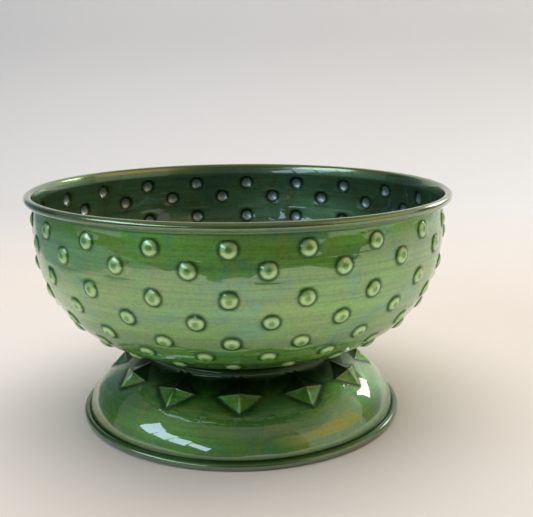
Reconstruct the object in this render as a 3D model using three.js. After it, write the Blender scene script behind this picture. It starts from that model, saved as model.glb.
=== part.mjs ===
// Footed bowl: an embossed, enamelled steel bowl bolted to an embossed, enamelled steel foot.
// Millimetres, +Z up, -Y towards the viewer. The origin is the centre of the foot on the table.
import * as THREE from 'three';

// Overall sizes
const RIM_DIAMETER = 280;
const HEIGHT = 153;
const FOOT_DIAMETER = 219;
const SEAT_HEIGHT = 49.5; // underside of the bowl's flat floor above the table
const SHEET = 1; // pressed steel with its enamel

// Rolled edges: the sheet curls outwards round a wire at the rim and at the foot
const WIRE_DIAMETER = 2.6;
const WIRE_CLEARANCE = 0.3;
const LIP_HEIGHT = 4; // top of the wall to the centre of the rolled rim
const LIP_FLARE = 1.8; // how far the lip leans out from the wall to the curl

// Bowl wall: one curve from the lip to the flat floor, given by the handles at its two ends
const BELLY_LEAN = 8;
const BELLY_DROP = 59;
const FLOOR_REACH = 44.5;
const FLOOR_RISE = 4;

// Hobnails pressed out of the wall in staggered rows, measured down the wall from the lip
const HOBNAIL_COLUMNS = 20;
const HOBNAIL_ROWS = 7;
const HOBNAIL_DIAMETER = 10.5;
const HOBNAIL_HEIGHT = 1.7;
const FIRST_ROW = 8.5;
const SECOND_ROW_STEP = 11.5;
const ROW_STEP = 15.3;

// Foot: a short upright collar, then a shoulder that falls to the rolled edge
const COLLAR_RADIUS = 67;
const COLLAR_HEIGHT = 6.6;
const COLLAR_ROUNDING = 5;
const SHOULDER_SLOPE = THREE.MathUtils.degToRad(32);
const SHOULDER_REACH = 17.6;
const SHOULDER_RISE = 19.5;

// Diamonds pressed out of the shoulder, each a low pyramid with four sides
const DIAMONDS = 12;
const DIAMOND_MARGIN = 1; // plain sheet above the upper tip and below the lower one
const DIAMOND_LENGTH = 27;
const DIAMOND_WIDTH = 30;
const DIAMOND_HEIGHT = 4.4;

// Fixing through the neck, from the screw's head in the bowl to the nut under the foot
const FACE_GAP = 0.1; // between stacked faces
const SCREW_DIAMETER = 6;
const SCREW_CLEARANCE = 0.3; // all round the shank
const SCREW_HEAD_DIAMETER = 16;
const SCREW_HEAD_HEIGHT = 3.6;
const SCREW_HEAD_EDGE = 0.8;
const SCREW_TAIL = 3; // left proud of the nut
const SEAL_OVERHANG = 1.5; // seal washer beyond the screw's head
const SEAL_THICKNESS = 1.5;
const GASKET_THICKNESS = 0.8;
const GASKET_INSET = 1;
const GASKET_WIDTH = 14; // a ring, under the edge of the bowl's floor
const CLAMP_WASHER_DIAMETER = 36;
const CLAMP_WASHER_THICKNESS = 1.6;
const LOCK_WASHER_DIAMETER = 11;
const LOCK_WASHER_THICKNESS = 1.6;
const LOCK_WASHER_SPLIT = THREE.MathUtils.degToRad(14);
const NUT_ACROSS_FLATS = 10;
const NUT_HEIGHT = 5;

// Facets: two of them carry a hobnail, and three carry a diamond
const HOBNAIL_FACETS = 2;
const DIAMOND_FACETS = 3;
const BOWL_FACETS = HOBNAIL_FACETS * HOBNAIL_COLUMNS;
const FOOT_FACETS = DIAMOND_FACETS * DIAMONDS;
const SMALL_FACETS = 16;
const WIRE_FACETS = 6;
const CURL_STEP = Math.PI / 4;
const CURL_STEPS = 7;
const UNDERSIDE_STEPS = 3;
const SHOULDER_STEPS = 3;
const ROUNDING_STEPS = 3;
const CROWN_STEPS = 4;

// Places worked out from the sizes
const curlRadius = WIRE_DIAMETER / 2 + WIRE_CLEARANCE;
const beadRadius = curlRadius + SHEET;
const rimCentre = new THREE.Vector2(RIM_DIAMETER / 2 - beadRadius, HEIGHT - beadRadius);
const footCentre = new THREE.Vector2(FOOT_DIAMETER / 2 - beadRadius, beadRadius);
const seatRadius = COLLAR_RADIUS - COLLAR_ROUNDING;
const holeRadius = SCREW_DIAMETER / 2 + SCREW_CLEARANCE;
const sealRadius = SCREW_HEAD_DIAMETER / 2 + SEAL_OVERHANG;
const sealBottom = SEAT_HEIGHT + SHEET + FACE_GAP;
const sealTop = sealBottom + SEAL_THICKNESS;
const headBottom = sealTop + FACE_GAP;
const gasketTop = SEAT_HEIGHT - FACE_GAP;
const gasketBottom = gasketTop - GASKET_THICKNESS;
const footTop = gasketBottom - FACE_GAP;
const clampTop = footTop - SHEET - FACE_GAP;
const clampBottom = clampTop - CLAMP_WASHER_THICKNESS;
const lockTop = clampBottom - FACE_GAP;
const lockBottom = lockTop - LOCK_WASHER_THICKNESS;
const nutTop = lockBottom - FACE_GAP;
const nutBottom = nutTop - NUT_HEIGHT;

const enamel = new THREE.MeshStandardMaterial({ color: 0x2c5a3c, roughness: 0.18, metalness: 0.6 });
const steel = new THREE.MeshStandardMaterial({ color: 0x9b9d9e, roughness: 0.4, metalness: 1 });
const brass = new THREE.MeshStandardMaterial({ color: 0xb08d4b, roughness: 0.3, metalness: 1 });
const rubber = new THREE.MeshStandardMaterial({ color: 0x1c1d1c, roughness: 0.8, metalness: 0 });

// A point of a profile, turned about the Z axis from the front.
function turned(point, angle) {
  return new THREE.Vector3(point.x * Math.sin(angle), -point.x * Math.cos(angle), point.y);
}

// A point on a circle about a centre, in the plane of a profile.
function onCircle(centre, radius, angle) {
  return new THREE.Vector2(Math.cos(angle), Math.sin(angle)).multiplyScalar(radius).add(centre);
}

// A profile turned about the Z axis.
function revolve(profile, facets) {
  return new THREE.LatheGeometry(profile, facets).rotateX(Math.PI / 2);
}

// The same path, moved sideways to the left of its direction, with mitred corners.
function offsetPath(path, distance) {
  const normals = path.slice(1).map((point, i) => {
    const along = point.clone().sub(path[i]).normalize();
    return new THREE.Vector2(-along.y, along.x);
  });
  return path.map((point, i) => {
    const before = normals[Math.max(i - 1, 0)];
    const after = normals[Math.min(i, normals.length - 1)];
    const mitre = before.clone().add(after).divideScalar(1 + before.dot(after));
    return point.clone().addScaledVector(mitre, distance);
  });
}

// A point on a curved sheet: a distance along its curve, a place across, and a height above its face.
function onSheet(curve, distance, angle, across, lift) {
  const u = distance / curve.getLength();
  const along = curve.getTangentAt(u);
  const point = curve.getPointAt(u).addScaledVector(new THREE.Vector2(-along.y, along.x), lift);
  return turned(point, angle + across / point.x);
}

// A sheet revolved from the path of its outer face, with studs pressed out of some of its bands.
// A band starts at a point of the path, and its studs are even cells that each span a few facets.
// A stud is a set of outlines, each [across, along] in its cell at a height, closed by a tip.
function pressedSheet(path, facets, bands) {
  const loop = [...path, ...offsetPath(path, SHEET).reverse()];
  const step = (2 * Math.PI) / facets;
  const points = [];
  const triangles = [];
  const vertex = (point) => points.push(point) - 1;
  const rings = loop.map((point) =>
    Array.from({ length: facets }, (_, i) => vertex(turned(point, i * step))),
  );
  const corner = (ring, i) => rings[ring % loop.length][(i + facets) % facets];
  const join = (outer, inner) => {
    outer.forEach((from, i) => {
      const next = (i + 1) % outer.length;
      triangles.push(from, outer[next], inner[next], from, inner[next], inner[i]);
    });
  };
  const close = (rim, tip) => {
    rim.forEach((from, i) => triangles.push(from, rim[(i + 1) % rim.length], tip));
  };

  const studs = new Map();
  bands.forEach(({ start, face, back, ...cell }) => {
    const ring = path.indexOf(start);
    studs.set(ring, { ...cell, ...face, downhill: -1 });
    studs.set(loop.length - 2 - ring, { ...cell, ...back, downhill: 1 });
  });
  const pressCell = (ring, first, stud) => {
    const span = Array.from({ length: stud.span + 1 }, (_, i) => first + i);
    const angle = (first + stud.span / 2) * step;
    const place = ([across, along], lift) =>
      vertex(onSheet(stud.curve, stud.middle + stud.downhill * along, angle, across, lift));
    let rim = [...span.map((i) => corner(ring, i)), ...span.reverse().map((i) => corner(ring + 1, i))];
    stud.outlines.forEach(({ outline, lift }) => {
      const inner = outline.map((spot) => place(spot, lift));
      join(rim, inner);
      rim = inner;
    });
    close(rim, place([0, 0], stud.tip));
  };
  loop.forEach((_, ring) => {
    const stud = studs.get(ring);
    const width = stud ? stud.span : 1;
    const shift = stud ? stud.shift : 0;
    for (let i = shift; i < facets + shift; i += width) {
      if (stud) {
        pressCell(ring, i, stud);
      } else {
        const [a, b] = [corner(ring, i), corner(ring, i + 1)];
        const [c, d] = [corner(ring + 1, i + 1), corner(ring + 1, i)];
        triangles.push(a, b, c, a, c, d);
      }
    }
  });
  const geometry = new THREE.BufferGeometry().setFromPoints(points);
  geometry.setIndex(triangles);
  geometry.computeVertexNormals();
  return geometry;
}

// The face of a sheet that curls round a wire, as flats that touch the curl's circle.
function curlPath(centre, direction) {
  const corner = curlRadius / Math.cos(CURL_STEP / 2);
  const first = Math.PI - (direction * CURL_STEP) / 2;
  return Array.from({ length: CURL_STEPS + 1 }, (_, i) =>
    onCircle(centre, corner, first + direction * i * CURL_STEP),
  );
}

// The wire inside a rolled edge.
function wireRing(centre, facets) {
  const section = Array.from({ length: WIRE_FACETS }, (_, i) =>
    onCircle(centre, WIRE_DIAMETER / 2, (i * 2 * Math.PI) / WIRE_FACETS),
  );
  return revolve([...section, section[0]], facets);
}

// The outer face of the bowl's wall, from the lip down to the flat floor.
function wallCurve() {
  const lip = new THREE.Vector2(rimCentre.x - curlRadius - LIP_FLARE, rimCentre.y - LIP_HEIGHT);
  const seat = new THREE.Vector2(seatRadius, SEAT_HEIGHT);
  return new THREE.CubicBezierCurve(
    lip,
    new THREE.Vector2(lip.x + BELLY_LEAN, lip.y - BELLY_DROP),
    new THREE.Vector2(seat.x + FLOOR_REACH, seat.y + FLOOR_RISE),
    seat,
  );
}

// Six points round a hobnail, in step with the six corners of its cell.
function hobnailOutline(radius) {
  return Array.from({ length: 2 * (HOBNAIL_FACETS + 1) }, (_, i) => {
    const angle = (i * Math.PI) / (HOBNAIL_FACETS + 1) + (7 * Math.PI) / 6;
    return [radius * Math.cos(angle), radius * Math.sin(angle)];
  });
}

// The bowl: a sheet with a hole in its flat floor, hobnails on its wall and a rolled rim.
function bowlShell() {
  const curve = wallCurve();
  const length = curve.getLength();
  const rows = Array.from({ length: HOBNAIL_ROWS }, (_, i) =>
    i === 0 ? FIRST_ROW : FIRST_ROW + SECOND_ROW_STEP + (i - 1) * ROW_STEP,
  );
  const firstCrease = FIRST_ROW - SECOND_ROW_STEP / 2;
  const lastCrease = rows.at(-1) + ROW_STEP / 2;
  const creases = [firstCrease, ...rows.slice(1).map((row, i) => (row + rows[i]) / 2), lastCrease];
  const undersideStep = (length - lastCrease) / UNDERSIDE_STEPS;
  const underside = Array.from({ length: UNDERSIDE_STEPS }, (_, i) => length - i * undersideStep);
  const onWall = (distance) => curve.getPointAt(distance / length);
  const wall = creases.map(onWall);
  const tuck = onCircle(rimCentre, curlRadius, Math.PI - CURL_STEPS * CURL_STEP - CURL_STEP);
  const path = [
    new THREE.Vector2(holeRadius, SEAT_HEIGHT),
    new THREE.Vector2(sealRadius + FACE_GAP, SEAT_HEIGHT),
    ...underside.map(onWall),
    ...wall.toReversed(),
    curve.v0,
    ...curlPath(rimCentre, -1),
    tuck,
  ];

  const radius = HOBNAIL_DIAMETER / 2;
  const shoulder = Math.SQRT1_2; // the dome's half-way ring
  const face = {
    outlines: [
      { outline: hobnailOutline(radius), lift: 0 },
      { outline: hobnailOutline(radius * shoulder), lift: HOBNAIL_HEIGHT * shoulder },
    ],
    tip: HOBNAIL_HEIGHT,
  };
  const back = {
    outlines: [{ outline: hobnailOutline(radius - SHEET), lift: -SHEET }],
    tip: HOBNAIL_HEIGHT - SHEET,
  };
  const bands = rows.map((row, i) => ({
    start: wall[i + 1],
    curve,
    middle: row,
    span: HOBNAIL_FACETS,
    shift: i % 2 === 0 ? -HOBNAIL_FACETS / 2 : 0,
    face,
    back,
  }));
  return pressedSheet(path, BOWL_FACETS, bands);
}

// The outer face of the foot's shoulder, from the collar down to the rolled edge.
function shoulderCurve() {
  const top = new THREE.Vector2(COLLAR_RADIUS, footTop - COLLAR_HEIGHT);
  const [bottom] = curlPath(footCentre, 1);
  const fall = new THREE.Vector2(Math.cos(SHOULDER_SLOPE), -Math.sin(SHOULDER_SLOPE));
  return new THREE.CubicBezierCurve(
    top,
    top.clone().addScaledVector(fall, SHOULDER_REACH),
    new THREE.Vector2(bottom.x, bottom.y + SHOULDER_RISE),
    bottom,
  );
}

// Eight points round a diamond, in step with the eight corners of its cell.
function diamondOutline(inset) {
  const across = DIAMOND_WIDTH / 2 - inset;
  const along = DIAMOND_LENGTH / 2 - inset;
  return [
    [-across, 0],
    [-across / 2, -along / 2],
    [0, -along],
    [across / 2, -along / 2],
    [across, 0],
    [across / 2, along / 2],
    [0, along],
    [-across / 2, along / 2],
  ];
}

// The foot: a sheet with a rolled edge, diamonds on its shoulder, a collar and a hole in its flat top.
function footShell() {
  const curve = shoulderCurve();
  const length = curve.getLength();
  const bandEnd = DIAMOND_LENGTH + 2 * DIAMOND_MARGIN;
  const plainStep = (length - bandEnd) / SHOULDER_STEPS;
  const plain = Array.from({ length: SHOULDER_STEPS - 1 }, (_, i) => length - (i + 1) * plainStep);
  const onShoulder = (distance) => curve.getPointAt(distance / length);
  const start = onShoulder(bandEnd);
  const rounding = new THREE.EllipseCurve(
    COLLAR_RADIUS - COLLAR_ROUNDING,
    footTop - COLLAR_ROUNDING,
    COLLAR_ROUNDING,
    COLLAR_ROUNDING,
    0,
    Math.PI / 2,
  );
  const path = [
    ...curlPath(footCentre, 1).reverse(),
    ...plain.map(onShoulder),
    start,
    curve.v0,
    ...rounding.getPoints(ROUNDING_STEPS),
    new THREE.Vector2(holeRadius, footTop),
  ];
  const band = {
    start,
    curve,
    middle: bandEnd / 2,
    span: DIAMOND_FACETS,
    shift: 0,
    face: { outlines: [{ outline: diamondOutline(0), lift: 0 }], tip: DIAMOND_HEIGHT },
    back: { outlines: [{ outline: diamondOutline(SHEET), lift: -SHEET }], tip: DIAMOND_HEIGHT - SHEET },
  };
  return pressedSheet(path, FOOT_FACETS, [band]);
}

// A flat ring, such as a washer.
function flatRing(innerRadius, outerRadius, bottom, top, facets) {
  const section = [
    new THREE.Vector2(innerRadius, bottom),
    new THREE.Vector2(outerRadius, bottom),
    new THREE.Vector2(outerRadius, top),
    new THREE.Vector2(innerRadius, top),
  ];
  return revolve([...section, section[0]], facets);
}

// A round-headed screw, its head in the bowl and its tail under the nut.
function fixingScrew() {
  const shank = SCREW_DIAMETER / 2;
  const head = SCREW_HEAD_DIAMETER / 2;
  const tail = nutBottom - SCREW_TAIL;
  const headTop = headBottom + SCREW_HEAD_HEIGHT;
  const edge = headBottom + SCREW_HEAD_EDGE;
  const crown = new THREE.EllipseCurve(0, edge, head, headTop - edge, 0, Math.PI / 2);
  const profile = [
    new THREE.Vector2(0, tail),
    new THREE.Vector2(shank, tail),
    new THREE.Vector2(shank, headBottom),
    new THREE.Vector2(head, headBottom),
    ...crown.getPoints(CROWN_STEPS).slice(0, -1),
    new THREE.Vector2(0, headTop),
  ];
  return revolve(profile, SMALL_FACETS);
}

// An outline in plan, made as thick as the space between two heights.
function slab(outline, bottom, top) {
  const options = { depth: top - bottom, bevelEnabled: false, curveSegments: SMALL_FACETS };
  return new THREE.ExtrudeGeometry(outline, options).translate(0, 0, bottom);
}

// A spring washer, split at one side.
function lockWasher() {
  const half = LOCK_WASHER_SPLIT / 2;
  const outline = new THREE.Shape();
  outline.absarc(0, 0, LOCK_WASHER_DIAMETER / 2, half, 2 * Math.PI - half, false);
  outline.absarc(0, 0, holeRadius, 2 * Math.PI - half, half, true);
  return slab(outline, lockBottom, lockTop);
}

// A hexagon nut.
function hexNut() {
  const corner = NUT_ACROSS_FLATS / 2 / Math.cos(Math.PI / 6);
  const axis = new THREE.Vector2();
  const corners = Array.from({ length: 6 }, (_, i) => onCircle(axis, corner, (i * Math.PI) / 3));
  const outline = new THREE.Shape(corners);
  outline.holes.push(new THREE.Path().absarc(0, 0, holeRadius, 0, 2 * Math.PI, true));
  return slab(outline, nutBottom, nutTop);
}

function piece(name, geometry, material) {
  const mesh = new THREE.Mesh(geometry, material);
  mesh.name = name;
  return mesh;
}

const bowl = new THREE.Group();
bowl.add(
  piece('bowl_shell', bowlShell(), enamel),
  piece('rim_wire', wireRing(rimCentre, BOWL_FACETS), steel),
);

const foot = new THREE.Group();
foot.add(
  piece('foot_shell', footShell(), enamel),
  piece('foot_wire', wireRing(footCentre, FOOT_FACETS), steel),
);
foot.rotation.z = -Math.PI / DIAMONDS; // a diamond faces the front

const gasketRadius = seatRadius - GASKET_INSET;
const clampRadius = CLAMP_WASHER_DIAMETER / 2;
const seal = flatRing(holeRadius, sealRadius, sealBottom, sealTop, SMALL_FACETS);
const gasket = flatRing(gasketRadius - GASKET_WIDTH, gasketRadius, gasketBottom, gasketTop, FOOT_FACETS);
const clamp = flatRing(holeRadius, clampRadius, clampBottom, clampTop, SMALL_FACETS);
const fixing = new THREE.Group();
fixing.add(
  piece('fixing_screw', fixingScrew(), brass),
  piece('seal_washer', seal, rubber),
  piece('neck_gasket', gasket, rubber),
  piece('clamp_washer', clamp, steel),
  piece('lock_washer', lockWasher(), steel),
  piece('hex_nut', hexNut(), brass),
);

const footedBowl = new THREE.Group();
footedBowl.add(bowl, foot, fixing);

export default footedBowl;
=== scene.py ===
"""Dresses the footed bowl: an enamelled bowl with hobnails, bolted to an enamelled foot with diamonds."""

import logging
import math
from collections.abc import Callable, Iterator, Sequence
from contextlib import contextmanager
from dataclasses import dataclass
from enum import Enum
from functools import cached_property

import bmesh
import bpy
import numpy as np
from mathutils import Matrix, Quaternion, Vector


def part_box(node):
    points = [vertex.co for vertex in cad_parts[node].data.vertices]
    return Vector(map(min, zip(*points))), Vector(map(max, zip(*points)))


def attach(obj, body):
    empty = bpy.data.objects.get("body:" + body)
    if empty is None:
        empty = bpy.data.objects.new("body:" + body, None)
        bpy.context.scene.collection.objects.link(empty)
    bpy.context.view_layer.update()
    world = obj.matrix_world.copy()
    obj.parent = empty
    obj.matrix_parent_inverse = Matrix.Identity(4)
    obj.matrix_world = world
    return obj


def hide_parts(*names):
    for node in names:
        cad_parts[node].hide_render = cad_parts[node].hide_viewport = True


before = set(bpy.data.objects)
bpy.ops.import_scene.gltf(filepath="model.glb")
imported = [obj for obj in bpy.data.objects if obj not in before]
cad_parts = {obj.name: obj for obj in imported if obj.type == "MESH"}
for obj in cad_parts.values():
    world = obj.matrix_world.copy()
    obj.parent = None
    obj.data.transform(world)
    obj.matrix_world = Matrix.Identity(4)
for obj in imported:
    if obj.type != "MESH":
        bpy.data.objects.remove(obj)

MM = 0.001
TURN = 2 * math.pi
BODY = "root"
MERGE = 0.004 * MM
STUD_PLACE = "stud_place"  # across and along a stud from its middle, where 1 is its edge
FAR = 9.0  # a place on no stud

Colour = tuple[float, float, float]
Place = tuple[float, float]  # radius and height in a section
log = logging.getLogger("footed_bowl")


class StudShape(Enum):
    """The outline of the studs that are pressed out of a sheet."""

    ROUND = "round"
    DIAMOND = "diamond"


class Socket:
    """A value in a node tree, with arithmetic that adds Math nodes."""

    def __init__(self, nodes: "Nodes", socket: bpy.types.NodeSocket) -> None:
        """Wraps one output of a node."""
        self.nodes = nodes
        self.socket = socket

    def __add__(self, other: "Socket | float") -> "Socket":
        """Adds a value."""
        return self.nodes.math("ADD", self, other)

    def __sub__(self, other: "Socket | float") -> "Socket":
        """Takes a value away."""
        return self.nodes.math("SUBTRACT", self, other)

    def __rsub__(self, other: float) -> "Socket":
        """Takes this value away from a number."""
        return self.nodes.math("SUBTRACT", other, self)

    def __mul__(self, other: "Socket | float") -> "Socket":
        """Multiplies by a value."""
        return self.nodes.math("MULTIPLY", self, other)

    __radd__ = __add__
    __rmul__ = __mul__


class Nodes:
    """A node tree that ends in one shader."""

    def __init__(self, owner: "bpy.types.Material | bpy.types.World", shader: str, output: str) -> None:
        """Starts the tree.

        Args:
            owner: the material or world.
            shader: the type of its shader.
            output: the type of its output.
        """
        owner.use_nodes = True
        self.tree = owner.node_tree
        self.tree.nodes.clear()
        self.shader = self.tree.nodes.new(shader)
        end = self.tree.nodes.new(output)
        self.tree.links.new(self.shader.outputs[0], end.inputs["Surface"])

    def feed(self, socket: bpy.types.NodeSocket, value: object) -> None:
        """Links a value to a socket, or sets the socket to a number or colour."""
        if isinstance(value, Socket):
            self.tree.links.new(value.socket, socket)
        elif socket.type == "RGBA" and len(value) == 3:
            socket.default_value = (*value, 1)
        else:
            socket.default_value = value

    def node(
        self,
        kind: str,
        settings: dict[str, object] | None = None,
        inputs: dict[str | int, object] | None = None,
        output: str | int = 0,
    ) -> Socket:
        """Adds a node.

        Args:
            kind: the node's type.
            settings: the node's own properties, which are set first.
            inputs: values or links, by the name or number of their socket.
            output: the name or number of the output that is used.

        Returns:
            That output.
        """
        made = self.tree.nodes.new(kind)
        for name, value in (settings or {}).items():
            setattr(made, name, value)
        for key, value in (inputs or {}).items():
            self.feed(made.inputs[key], value)
        return Socket(self, made.outputs[output])

    def math(self, operation: str, *values: "Socket | float") -> Socket:
        """Adds a Math node on one or two values."""
        return self.node("ShaderNodeMath", {"operation": operation}, dict(enumerate(values)))

    def ramp(self, value: Socket, low: float, high: float) -> Socket:
        """Rises smoothly from 0 where the value is low to 1 where it is high."""
        inputs = {"Value": value, "From Min": low, "From Max": high}
        return self.node("ShaderNodeMapRange", {"interpolation_type": "SMOOTHSTEP"}, inputs)

    def mix(self, share: Socket, first: "Socket | Colour", second: "Socket | Colour") -> Socket:
        """Mixes two colours."""
        return self.node("ShaderNodeMix", {"data_type": "RGBA"}, {0: share, 6: first, 7: second}, 2)

    def parts(self, vector: Socket) -> tuple[Socket, Socket, Socket]:
        """Splits a vector into its three values."""
        return tuple(self.node("ShaderNodeSeparateXYZ", None, {0: vector}, axis) for axis in "XYZ")

    def between(self, value: Socket, low: float, high: float, soft: float) -> Socket:
        """Gives 1 between two values, with soft ends outside them."""
        return self.ramp(value, low - soft, low) * (1 - self.ramp(value, high, high + soft))

    def finish(self, **sockets: object) -> None:
        """Sets the shader's sockets, whose names are written with underscores."""
        for name, value in sockets.items():
            self.feed(self.shader.inputs[name.replace("_", " ")], value)


class Surface(Nodes):
    """A material being built around one Principled shader."""

    def __init__(self, name: str) -> None:
        """Starts a material."""
        self.material = bpy.data.materials.new(name)
        super().__init__(self.material, "ShaderNodeBsdfPrincipled", "ShaderNodeOutputMaterial")

    def place(self, scale: Colour = (1, 1, 1)) -> Socket:
        """Gives the place on the piece in metres, stretched along each axis."""
        here = self.node("ShaderNodeTexCoord", output="Object")
        return self.node("ShaderNodeMapping", None, {"Vector": here, "Scale": scale})

    def noise(self, place: Socket, scale: float, detail: float = 2, distortion: float = 0) -> Socket:
        """Gives soft noise from 0 to 1.

        Args:
            place: where the noise is read.
            scale: how many clouds there are to a metre.
            detail: how many finer layers are added.
            distortion: how far the clouds are stirred.

        Returns:
            The noise.
        """
        inputs = {"Vector": place, "Scale": scale, "Detail": detail, "Distortion": distortion}
        return self.node("ShaderNodeTexNoise", None, inputs)

    def bump(self, height: Socket, distance: float, strength: float = 1) -> Socket:
        """Turns a height into a normal."""
        inputs = {"Height": height, "Distance": distance, "Strength": strength}
        return self.node("ShaderNodeBump", None, inputs)

    def finish(self, **sockets: object) -> bpy.types.Material:
        """Sets the shader's sockets and gives the material."""
        super().finish(**sockets)
        return self.material


@dataclass(frozen=True)
class Enamel:
    """Clear coloured glass fused over brushed metal: paler on the studs, partly where it runs thinly and partly as
    painted highlight, darker where it pools, and darker still as painted shade in grooves, at the neck and above the
    foot's edge.
    """

    name: str
    studs: StudShape
    body: Colour
    teal: Colour
    olive: Colour
    # The pale colour on the studs' crests and ridges is partly enamel that runs thinly and partly painted highlight;
    # the middle colour is a stud's centre.
    thin_and_highlight: Colour
    middle: Colour
    deep: Colour
    bead: Colour
    bead_span: Place
    # The groove and neck spans are heights darkened as painted shade, in the groove partly pooled enamel.
    groove_shade_span: Place
    neck_shade_span: Place
    roughness: float
    # Heights of a band darkened as painted shade; by default it lies below the piece.
    painted_shade_span: Place = (-20 * MM, -19 * MM)
    gloss: float = 2.3
    stud_dullness: float = 0.28

    def spread(self, make: Surface, place: Socket) -> Socket:
        """Gives the distance from a stud's middle, where 1 is its outline."""
        if self.studs is StudShape.ROUND:
            return make.node("ShaderNodeVectorMath", {"operation": "LENGTH"}, {0: place}, "Value")
        return make.node("ShaderNodeVectorMath", {"operation": "DOT_PRODUCT"}, {0: place, 1: (1, 1, 0)}, "Value")

    def ridge(self, make: Surface, place: Socket) -> Socket:
        """Gives 1 along the lines that run from a diamond's tip to its corners."""
        across, along, _ = make.parts(place)
        return 1 - make.ramp(make.math("MINIMUM", across, along), 0.015, 0.07)

    def material(self) -> bpy.types.Material:
        """Builds the enamel.

        Returns:
            The material.
        """
        make = Surface(self.name)
        here = make.place()
        on_stud = make.node("ShaderNodeAttribute", {"attribute_name": STUD_PLACE}, output="Vector")
        spread = self.spread(make, on_stud)
        height = make.parts(here)[2]
        clouds = make.noise(here, 30, 3, 0.8)
        patches = make.noise(make.place((1, 1, 0.4)), 46, 3, 1.2)
        bands = make.noise(make.place((6, 6, 190)), 1, 3)
        strokes = make.noise(make.place((14, 14, 1300)), 1, 2)
        sponge = make.noise(here, 620, 4, 0.4)

        colour = make.mix(make.ramp(clouds, 0.5, 0.66), self.body, self.teal)
        colour = make.mix(make.ramp(patches, 0.5, 0.66), colour, self.olive)
        shade = 0.3 * make.ramp(bands, 0.35, 0.75) + 0.22 * make.ramp(strokes, 0.4, 0.8)
        shade = shade + 0.24 * make.ramp(sponge, 0.4, 0.75)
        colour = make.mix(shade, colour, self.deep)
        # Studs' crests are paler, partly where enamel runs thinly and partly as painted highlight, and darker
        # towards the centre; on diamonds the pale lines along the ridges are painted highlight, partly thinly coated
        # edges.
        on_crest_and_highlight = 1 - make.ramp(spread + 0.1 * sponge, 0.68, 0.9)
        crest_and_highlight = make.mix(make.ramp(spread + 0.3 * sponge, 0.32, 0.64), self.middle, self.thin_and_highlight)
        if self.studs is StudShape.DIAMOND:
            on_crest_and_highlight = self.ridge(make, on_stud) * (1 - make.ramp(spread, 0.9, 1.05))
            crest_and_highlight = self.thin_and_highlight
        colour = make.mix(0.9 * on_crest_and_highlight, colour, crest_and_highlight)
        # Enamel pooled in the hollow round each stud, joined with a band of painted shade at given heights.
        pool_and_shade = make.ramp(spread, 0.8, 0.94) * (1 - make.ramp(spread + 0.5 * patches, 1.15, 1.7))
        pool_and_shade = make.math("MAXIMUM", pool_and_shade, 0.45 * make.between(height, *self.painted_shade_span, 3 * MM))
        colour = make.mix(0.9 * pool_and_shade, colour, self.deep)
        on_bead = make.between(height, *self.bead_span, 0.8 * MM)
        colour = make.mix(0.85 * on_bead, colour, self.bead)
        # Painted shade in the groove under the bead, partly pooled enamel, and at the neck between bowl and foot.
        groove_and_neck_shade = 0.6 * make.between(height, *self.groove_shade_span, 0.4 * MM)
        groove_and_neck_shade = make.math("MAXIMUM", groove_and_neck_shade, make.between(height, *self.neck_shade_span, 9 * MM))
        colour = make.mix(0.95 * groove_and_neck_shade, colour, self.deep)
        # The coat is duller on the studs' faces and weaker over pooled enamel and painted shade, which takes
        # reflection out of the shaded places.
        on_stud_face = 1 - make.ramp(spread, 0.75, 1)
        dull = make.math("MAXIMUM", self.stud_dullness * on_stud_face, 0.8 * pool_and_shade)
        dull = make.math("MAXIMUM", dull, 0.8 * groove_and_neck_shade)

        return make.finish(
            Base_Color=colour,
            Roughness=self.roughness + 0.1 * strokes + 0.08 * sponge - 0.3 * on_bead,
            Metallic=0.92,
            Normal=make.bump(strokes + 0.7 * sponge + 0.6 * bands, 0.05 * MM),
            Coat_Weight=1 - dull,
            Coat_Roughness=0.012,
            Coat_IOR=self.gloss,
        )


@dataclass(frozen=True)
class BareMetal:
    """Plated or solid metal with a fine grain, dulled in patches."""

    name: str
    colour: Colour
    dull: Colour
    roughness: float

    def material(self) -> bpy.types.Material:
        """Builds the metal."""
        make = Surface(self.name)
        patches = make.noise(make.place(), 220, 4, 0.5)
        grain = make.noise(make.place((300, 300, 3000)), 1, 2)
        return make.finish(
            Base_Color=make.mix(make.ramp(patches, 0.45, 0.75), self.colour, self.dull),
            Roughness=self.roughness + 0.2 * patches + 0.08 * grain,
            Metallic=1.0,
            Normal=make.bump(grain + patches, 0.03 * MM),
        )


@dataclass(frozen=True)
class Rubber:
    """Black rubber with a fine moulded grain and a little bloom."""

    name: str
    colour: Colour
    bloom: Colour

    def material(self) -> bpy.types.Material:
        """Builds the rubber."""
        make = Surface(self.name)
        patches = make.noise(make.place(), 160, 3)
        grain = make.noise(make.place(), 4000, 2)
        return make.finish(
            Base_Color=make.mix(make.ramp(patches, 0.4, 0.8), self.colour, self.bloom),
            Roughness=0.62 + 0.2 * patches,
            Normal=make.bump(grain, 0.03 * MM),
        )


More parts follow.
